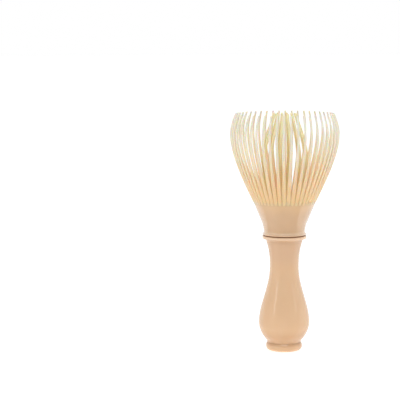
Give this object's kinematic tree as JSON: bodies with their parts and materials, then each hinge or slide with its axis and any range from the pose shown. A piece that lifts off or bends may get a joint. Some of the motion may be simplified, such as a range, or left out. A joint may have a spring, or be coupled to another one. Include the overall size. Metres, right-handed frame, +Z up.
{
  "type": "tea whisk",
  "caption": "Handled tea whisk standing on its foot: a turned baluster handle, and a flared head with an outer ring of slender curled tines around an inner cage of bowed tines.",
  "frame": {"origin": "centre of the foot's flat underside, where the whisk's axis meets the surface it stands on", "axes": "+Z up along the whisk's axis from the foot to the tips; +X and +Y across it, both on planes of the tine ring's symmetry"},
  "size_m": [0.0776, 0.0776, 0.17],
  "materials": {
    "handle_plastic": "satin moulded polypropylene, tan",
    "head_plastic": "satin moulded polypropylene, light tan",
    "tine_plastic": "satin moulded polypropylene, cream, paler at the tips",
    "inner_plastic": "satin moulded polypropylene, golden cream"
  },
  "bodies": {
    "handle": {"handle": "handle_plastic", "foot_cap": "handle_plastic"},
    "tine_head": {"tine_head_hub": "head_plastic", "insert_hub": "inner_plastic"},
    "outer_tine_01": {"outer_tine_01": "tine_plastic"},
    "outer_tine_02": {"outer_tine_02": "tine_plastic"},
    "outer_tine_03": {"outer_tine_03": "tine_plastic"},
    "outer_tine_04": {"outer_tine_04": "tine_plastic"},
    "outer_tine_05": {"outer_tine_05": "tine_plastic"},
    "outer_tine_06": {"outer_tine_06": "tine_plastic"},
    "outer_tine_07": {"outer_tine_07": "tine_plastic"},
    "outer_tine_08": {"outer_tine_08": "tine_plastic"},
    "outer_tine_09": {"outer_tine_09": "tine_plastic"},
    "outer_tine_10": {"outer_tine_10": "tine_plastic"},
    "outer_tine_11": {"outer_tine_11": "tine_plastic"},
    "outer_tine_12": {"outer_tine_12": "tine_plastic"},
    "outer_tine_13": {"outer_tine_13": "tine_plastic"},
    "outer_tine_14": {"outer_tine_14": "tine_plastic"},
    "outer_tine_15": {"outer_tine_15": "tine_plastic"},
    "outer_tine_16": {"outer_tine_16": "tine_plastic"},
    "outer_tine_17": {"outer_tine_17": "tine_plastic"},
    "outer_tine_18": {"outer_tine_18": "tine_plastic"},
    "outer_tine_19": {"outer_tine_19": "tine_plastic"},
    "outer_tine_20": {"outer_tine_20": "tine_plastic"},
    "outer_tine_21": {"outer_tine_21": "tine_plastic"},
    "outer_tine_22": {"outer_tine_22": "tine_plastic"},
    "outer_tine_23": {"outer_tine_23": "tine_plastic"},
    "outer_tine_24": {"outer_tine_24": "tine_plastic"},
    "outer_tine_25": {"outer_tine_25": "tine_plastic"},
    "outer_tine_26": {"outer_tine_26": "tine_plastic"},
    "outer_tine_27": {"outer_tine_27": "tine_plastic"},
    "outer_tine_28": {"outer_tine_28": "tine_plastic"},
    "outer_tine_29": {"outer_tine_29": "tine_plastic"},
    "outer_tine_30": {"outer_tine_30": "tine_plastic"},
    "outer_tine_31": {"outer_tine_31": "tine_plastic"},
    "outer_tine_32": {"outer_tine_32": "tine_plastic"},
    "outer_tine_33": {"outer_tine_33": "tine_plastic"},
    "outer_tine_34": {"outer_tine_34": "tine_plastic"},
    "outer_tine_35": {"outer_tine_35": "tine_plastic"},
    "outer_tine_36": {"outer_tine_36": "tine_plastic"},
    "outer_tine_37": {"outer_tine_37": "tine_plastic"},
    "outer_tine_38": {"outer_tine_38": "tine_plastic"},
    "outer_tine_39": {"outer_tine_39": "tine_plastic"},
    "outer_tine_40": {"outer_tine_40": "tine_plastic"},
    "outer_tine_41": {"outer_tine_41": "tine_plastic"},
    "outer_tine_42": {"outer_tine_42": "tine_plastic"},
    "outer_tine_43": {"outer_tine_43": "tine_plastic"},
    "outer_tine_44": {"outer_tine_44": "tine_plastic"},
    "outer_tine_45": {"outer_tine_45": "tine_plastic"},
    "outer_tine_46": {"outer_tine_46": "tine_plastic"},
    "outer_tine_47": {"outer_tine_47": "tine_plastic"},
    "outer_tine_48": {"outer_tine_48": "tine_plastic"},
    "inner_tine_pair_01": {"inner_tine_pair_01": "inner_plastic"},
    "inner_tine_pair_02": {"inner_tine_pair_02": "inner_plastic"},
    "inner_tine_pair_03": {"inner_tine_pair_03": "inner_plastic"},
    "inner_tine_pair_04": {"inner_tine_pair_04": "inner_plastic"},
    "inner_tine_pair_05": {"inner_tine_pair_05": "inner_plastic"},
    "inner_tine_pair_06": {"inner_tine_pair_06": "inner_plastic"},
    "inner_tine_pair_07": {"inner_tine_pair_07": "inner_plastic"}
  },
  "joints": [
    {"name": "head_pull", "type": "slide", "parent": "handle", "child": "tine_head", "axis": [0, 0, 1], "range_m": [0, 0.022]},
    {"name": "outer_tine_01_flex", "type": "hinge", "parent": "tine_head", "child": "outer_tine_01", "pos_m": [0.02105, 0.00138, 0.1074], "axis": [-0.0654, 0.9979, 0], "range_deg": [-6, 8], "stiffness_Nm_per_rad": 0.03},
    {"name": "outer_tine_02_flex", "type": "hinge", "parent": "tine_head", "child": "outer_tine_02", "pos_m": [0.02069, 0.00412, 0.1074], "axis": [-0.1951, 0.9808, 0], "range_deg": [-6, 8], "stiffness_Nm_per_rad": 0.03},
    {"name": "outer_tine_03_flex", "type": "hinge", "parent": "tine_head", "child": "outer_tine_03", "pos_m": [0.01998, 0.00678, 0.1074], "axis": [-0.3214, 0.9469, 0], "range_deg": [-6, 8], "stiffness_Nm_per_rad": 0.03},
    {"name": "outer_tine_04_flex", "type": "hinge", "parent": "tine_head", "child": "outer_tine_04", "pos_m": [0.01892, 0.00933, 0.1074], "axis": [-0.4423, 0.8969, 0], "range_deg": [-6, 8], "stiffness_Nm_per_rad": 0.03},
    {"name": "outer_tine_05_flex", "type": "hinge", "parent": "tine_head", "child": "outer_tine_05", "pos_m": [0.01754, 0.01172, 0.1074], "axis": [-0.5556, 0.8315, 0], "range_deg": [-6, 8], "stiffness_Nm_per_rad": 0.03},
    {"name": "outer_tine_06_flex", "type": "hinge", "parent": "tine_head", "child": "outer_tine_06", "pos_m": [0.01586, 0.01391, 0.1074], "axis": [-0.6593, 0.7518, 0], "range_deg": [-6, 8], "stiffness_Nm_per_rad": 0.03},
    {"name": "outer_tine_07_flex", "type": "hinge", "parent": "tine_head", "child": "outer_tine_07", "pos_m": [0.01391, 0.01586, 0.1074], "axis": [-0.7518, 0.6593, 0], "range_deg": [-6, 8], "stiffness_Nm_per_rad": 0.03},
    {"name": "outer_tine_08_flex", "type": "hinge", "parent": "tine_head", "child": "outer_tine_08", "pos_m": [0.01172, 0.01754, 0.1074], "axis": [-0.8315, 0.5556, 0], "range_deg": [-6, 8], "stiffness_Nm_per_rad": 0.03},
    {"name": "outer_tine_09_flex", "type": "hinge", "parent": "tine_head", "child": "outer_tine_09", "pos_m": [0.00933, 0.01892, 0.1074], "axis": [-0.8969, 0.4423, 0], "range_deg": [-6, 8], "stiffness_Nm_per_rad": 0.03},
    {"name": "outer_tine_10_flex", "type": "hinge", "parent": "tine_head", "child": "outer_tine_10", "pos_m": [0.00678, 0.01998, 0.1074], "axis": [-0.9469, 0.3214, 0], "range_deg": [-6, 8], "stiffness_Nm_per_rad": 0.03},
    {"name": "outer_tine_11_flex", "type": "hinge", "parent": "tine_head", "child": "outer_tine_11", "pos_m": [0.00412, 0.02069, 0.1074], "axis": [-0.9808, 0.1951, 0], "range_deg": [-6, 8], "stiffness_Nm_per_rad": 0.03},
    {"name": "outer_tine_12_flex", "type": "hinge", "parent": "tine_head", "child": "outer_tine_12", "pos_m": [0.00138, 0.02105, 0.1074], "axis": [-0.9979, 0.0654, 0], "range_deg": [-6, 8], "stiffness_Nm_per_rad": 0.03},
    {"name": "outer_tine_13_flex", "type": "hinge", "parent": "tine_head", "child": "outer_tine_13", "pos_m": [-0.00138, 0.02105, 0.1074], "axis": [-0.9979, -0.0654, 0], "range_deg": [-6, 8], "stiffness_Nm_per_rad": 0.03},
    {"name": "outer_tine_14_flex", "type": "hinge", "parent": "tine_head", "child": "outer_tine_14", "pos_m": [-0.00412, 0.02069, 0.1074], "axis": [-0.9808, -0.1951, 0], "range_deg": [-6, 8], "stiffness_Nm_per_rad": 0.03},
    {"name": "outer_tine_15_flex", "type": "hinge", "parent": "tine_head", "child": "outer_tine_15", "pos_m": [-0.00678, 0.01998, 0.1074], "axis": [-0.9469, -0.3214, 0], "range_deg": [-6, 8], "stiffness_Nm_per_rad": 0.03},
    {"name": "outer_tine_16_flex", "type": "hinge", "parent": "tine_head", "child": "outer_tine_16", "pos_m": [-0.00933, 0.01892, 0.1074], "axis": [-0.8969, -0.4423, 0], "range_deg": [-6, 8], "stiffness_Nm_per_rad": 0.03},
    {"name": "outer_tine_17_flex", "type": "hinge", "parent": "tine_head", "child": "outer_tine_17", "pos_m": [-0.01172, 0.01754, 0.1074], "axis": [-0.8315, -0.5556, 0], "range_deg": [-6, 8], "stiffness_Nm_per_rad": 0.03},
    {"name": "outer_tine_18_flex", "type": "hinge", "parent": "tine_head", "child": "outer_tine_18", "pos_m": [-0.01391, 0.01586, 0.1074], "axis": [-0.7518, -0.6593, 0], "range_deg": [-6, 8], "stiffness_Nm_per_rad": 0.03},
    {"name": "outer_tine_19_flex", "type": "hinge", "parent": "tine_head", "child": "outer_tine_19", "pos_m": [-0.01586, 0.01391, 0.1074], "axis": [-0.6593, -0.7518, 0], "range_deg": [-6, 8], "stiffness_Nm_per_rad": 0.03},
    {"name": "outer_tine_20_flex", "type": "hinge", "parent": "tine_head", "child": "outer_tine_20", "pos_m": [-0.01754, 0.01172, 0.1074], "axis": [-0.5556, -0.8315, 0], "range_deg": [-6, 8], "stiffness_Nm_per_rad": 0.03},
    {"name": "outer_tine_21_flex", "type": "hinge", "parent": "tine_head", "child": "outer_tine_21", "pos_m": [-0.01892, 0.00933, 0.1074], "axis": [-0.4423, -0.8969, 0], "range_deg": [-6, 8], "stiffness_Nm_per_rad": 0.03},
    {"name": "outer_tine_22_flex", "type": "hinge", "parent": "tine_head", "child": "outer_tine_22", "pos_m": [-0.01998, 0.00678, 0.1074], "axis": [-0.3214, -0.9469, 0], "range_deg": [-6, 8], "stiffness_Nm_per_rad": 0.03},
    {"name": "outer_tine_23_flex", "type": "hinge", "parent": "tine_head", "child": "outer_tine_23", "pos_m": [-0.02069, 0.00412, 0.1074], "axis": [-0.1951, -0.9808, 0], "range_deg": [-6, 8], "stiffness_Nm_per_rad": 0.03},
    {"name": "outer_tine_24_flex", "type": "hinge", "parent": "tine_head", "child": "outer_tine_24", "pos_m": [-0.02105, 0.00138, 0.1074], "axis": [-0.0654, -0.9979, 0], "range_deg": [-6, 8], "stiffness_Nm_per_rad": 0.03},
    {"name": "outer_tine_25_flex", "type": "hinge", "parent": "tine_head", "child": "outer_tine_25", "pos_m": [-0.02105, -0.00138, 0.1074], "axis": [0.0654, -0.9979, 0], "range_deg": [-6, 8], "stiffness_Nm_per_rad": 0.03},
    {"name": "outer_tine_26_flex", "type": "hinge", "parent": "tine_head", "child": "outer_tine_26", "pos_m": [-0.02069, -0.00412, 0.1074], "axis": [0.1951, -0.9808, 0], "range_deg": [-6, 8], "stiffness_Nm_per_rad": 0.03},
    {"name": "outer_tine_27_flex", "type": "hinge", "parent": "tine_head", "child": "outer_tine_27", "pos_m": [-0.01998, -0.00678, 0.1074], "axis": [0.3214, -0.9469, 0], "range_deg": [-6, 8], "stiffness_Nm_per_rad": 0.03},
    {"name": "outer_tine_28_flex", "type": "hinge", "parent": "tine_head", "child": "outer_tine_28", "pos_m": [-0.01892, -0.00933, 0.1074], "axis": [0.4423, -0.8969, 0], "range_deg": [-6, 8], "stiffness_Nm_per_rad": 0.03},
    {"name": "outer_tine_29_flex", "type": "hinge", "parent": "tine_head", "child": "outer_tine_29", "pos_m": [-0.01754, -0.01172, 0.1074], "axis": [0.5556, -0.8315, 0], "range_deg": [-6, 8], "stiffness_Nm_per_rad": 0.03},
    {"name": "outer_tine_30_flex", "type": "hinge", "parent": "tine_head", "child": "outer_tine_30", "pos_m": [-0.01586, -0.01391, 0.1074], "axis": [0.6593, -0.7518, 0], "range_deg": [-6, 8], "stiffness_Nm_per_rad": 0.03},
    {"name": "outer_tine_31_flex", "type": "hinge", "parent": "tine_head", "child": "outer_tine_31", "pos_m": [-0.01391, -0.01586, 0.1074], "axis": [0.7518, -0.6593, 0], "range_deg": [-6, 8], "stiffness_Nm_per_rad": 0.03},
    {"name": "outer_tine_32_flex", "type": "hinge", "parent": "tine_head", "child": "outer_tine_32", "pos_m": [-0.01172, -0.01754, 0.1074], "axis": [0.8315, -0.5556, 0], "range_deg": [-6, 8], "stiffness_Nm_per_rad": 0.03},
    {"name": "outer_tine_33_flex", "type": "hinge", "parent": "tine_head", "child": "outer_tine_33", "pos_m": [-0.00933, -0.01892, 0.1074], "axis": [0.8969, -0.4423, 0], "range_deg": [-6, 8], "stiffness_Nm_per_rad": 0.03},
    {"name": "outer_tine_34_flex", "type": "hinge", "parent": "tine_head", "child": "outer_tine_34", "pos_m": [-0.00678, -0.01998, 0.1074], "axis": [0.9469, -0.3214, 0], "range_deg": [-6, 8], "stiffness_Nm_per_rad": 0.03},
    {"name": "outer_tine_35_flex", "type": "hinge", "parent": "tine_head", "child": "outer_tine_35", "pos_m": [-0.00412, -0.02069, 0.1074], "axis": [0.9808, -0.1951, 0], "range_deg": [-6, 8], "stiffness_Nm_per_rad": 0.03},
    {"name": "outer_tine_36_flex", "type": "hinge", "parent": "tine_head", "child": "outer_tine_36", "pos_m": [-0.00138, -0.02105, 0.1074], "axis": [0.9979, -0.0654, 0], "range_deg": [-6, 8], "stiffness_Nm_per_rad": 0.03},
    {"name": "outer_tine_37_flex", "type": "hinge", "parent": "tine_head", "child": "outer_tine_37", "pos_m": [0.00138, -0.02105, 0.1074], "axis": [0.9979, 0.0654, 0], "range_deg": [-6, 8], "stiffness_Nm_per_rad": 0.03},
    {"name": "outer_tine_38_flex", "type": "hinge", "parent": "tine_head", "child": "outer_tine_38", "pos_m": [0.00412, -0.02069, 0.1074], "axis": [0.9808, 0.1951, 0], "range_deg": [-6, 8], "stiffness_Nm_per_rad": 0.03},
    {"name": "outer_tine_39_flex", "type": "hinge", "parent": "tine_head", "child": "outer_tine_39", "pos_m": [0.00678, -0.01998, 0.1074], "axis": [0.9469, 0.3214, 0], "range_deg": [-6, 8], "stiffness_Nm_per_rad": 0.03},
    {"name": "outer_tine_40_flex", "type": "hinge", "parent": "tine_head", "child": "outer_tine_40", "pos_m": [0.00933, -0.01892, 0.1074], "axis": [0.8969, 0.4423, 0], "range_deg": [-6, 8], "stiffness_Nm_per_rad": 0.03},
    {"name": "outer_tine_41_flex", "type": "hinge", "parent": "tine_head", "child": "outer_tine_41", "pos_m": [0.01172, -0.01754, 0.1074], "axis": [0.8315, 0.5556, 0], "range_deg": [-6, 8], "stiffness_Nm_per_rad": 0.03},
    {"name": "outer_tine_42_flex", "type": "hinge", "parent": "tine_head", "child": "outer_tine_42", "pos_m": [0.01391, -0.01586, 0.1074], "axis": [0.7518, 0.6593, 0], "range_deg": [-6, 8], "stiffness_Nm_per_rad": 0.03},
    {"name": "outer_tine_43_flex", "type": "hinge", "parent": "tine_head", "child": "outer_tine_43", "pos_m": [0.01586, -0.01391, 0.1074], "axis": [0.6593, 0.7518, 0], "range_deg": [-6, 8], "stiffness_Nm_per_rad": 0.03},
    {"name": "outer_tine_44_flex", "type": "hinge", "parent": "tine_head", "child": "outer_tine_44", "pos_m": [0.01754, -0.01172, 0.1074], "axis": [0.5556, 0.8315, 0], "range_deg": [-6, 8], "stiffness_Nm_per_rad": 0.03},
    {"name": "outer_tine_45_flex", "type": "hinge", "parent": "tine_head", "child": "outer_tine_45", "pos_m": [0.01892, -0.00933, 0.1074], "axis": [0.4423, 0.8969, 0], "range_deg": [-6, 8], "stiffness_Nm_per_rad": 0.03},
    {"name": "outer_tine_46_flex", "type": "hinge", "parent": "tine_head", "child": "outer_tine_46", "pos_m": [0.01998, -0.00678, 0.1074], "axis": [0.3214, 0.9469, 0], "range_deg": [-6, 8], "stiffness_Nm_per_rad": 0.03},
    {"name": "outer_tine_47_flex", "type": "hinge", "parent": "tine_head", "child": "outer_tine_47", "pos_m": [0.02069, -0.00412, 0.1074], "axis": [0.1951, 0.9808, 0], "range_deg": [-6, 8], "stiffness_Nm_per_rad": 0.03},
    {"name": "outer_tine_48_flex", "type": "hinge", "parent": "tine_head", "child": "outer_tine_48", "pos_m": [0.02105, -0.00138, 0.1074], "axis": [0.0654, 0.9979, 0], "range_deg": [-6, 8], "stiffness_Nm_per_rad": 0.03},
    {"name": "inner_tine_pair_01_flex", "type": "hinge", "parent": "tine_head", "child": "inner_tine_pair_01", "pos_m": [0.01092, 0.00249, 0.1024], "axis": [-0.2225, 0.9749, 0], "range_deg": [-1.5, 8], "stiffness_Nm_per_rad": 0.07},
    {"name": "inner_tine_pair_02_flex", "type": "hinge", "parent": "tine_head", "child": "inner_tine_pair_02", "pos_m": [0.00486, 0.01009, 0.1024], "axis": [-0.901, 0.4339, 0], "range_deg": [-1.5, 8], "stiffness_Nm_per_rad": 0.07},
    {"name": "inner_tine_pair_03_flex", "type": "hinge", "parent": "tine_head", "child": "inner_tine_pair_03", "pos_m": [-0.00486, 0.01009, 0.1024], "axis": [-0.901, -0.4339, 0], "range_deg": [-1.5, 8], "stiffness_Nm_per_rad": 0.07},
    {"name": "inner_tine_pair_04_flex", "type": "hinge", "parent": "tine_head", "child": "inner_tine_pair_04", "pos_m": [-0.01092, 0.00249, 0.1024], "axis": [-0.2225, -0.9749, 0], "range_deg": [-1.5, 8], "stiffness_Nm_per_rad": 0.07},
    {"name": "inner_tine_pair_05_flex", "type": "hinge", "parent": "tine_head", "child": "inner_tine_pair_05", "pos_m": [-0.00876, -0.00698, 0.1024], "axis": [0.6235, -0.7818, 0], "range_deg": [-1.5, 8], "stiffness_Nm_per_rad": 0.07},
    {"name": "inner_tine_pair_06_flex", "type": "hinge", "parent": "tine_head", "child": "inner_tine_pair_06", "pos_m": [0, -0.0112, 0.1024], "axis": [1, 0, 0], "range_deg": [-1.5, 8], "stiffness_Nm_per_rad": 0.07},
    {"name": "inner_tine_pair_07_flex", "type": "hinge", "parent": "tine_head", "child": "inner_tine_pair_07", "pos_m": [0.00876, -0.00698, 0.1024], "axis": [0.6235, 0.7818, 0], "range_deg": [-1.5, 8], "stiffness_Nm_per_rad": 0.07}
  ]
}
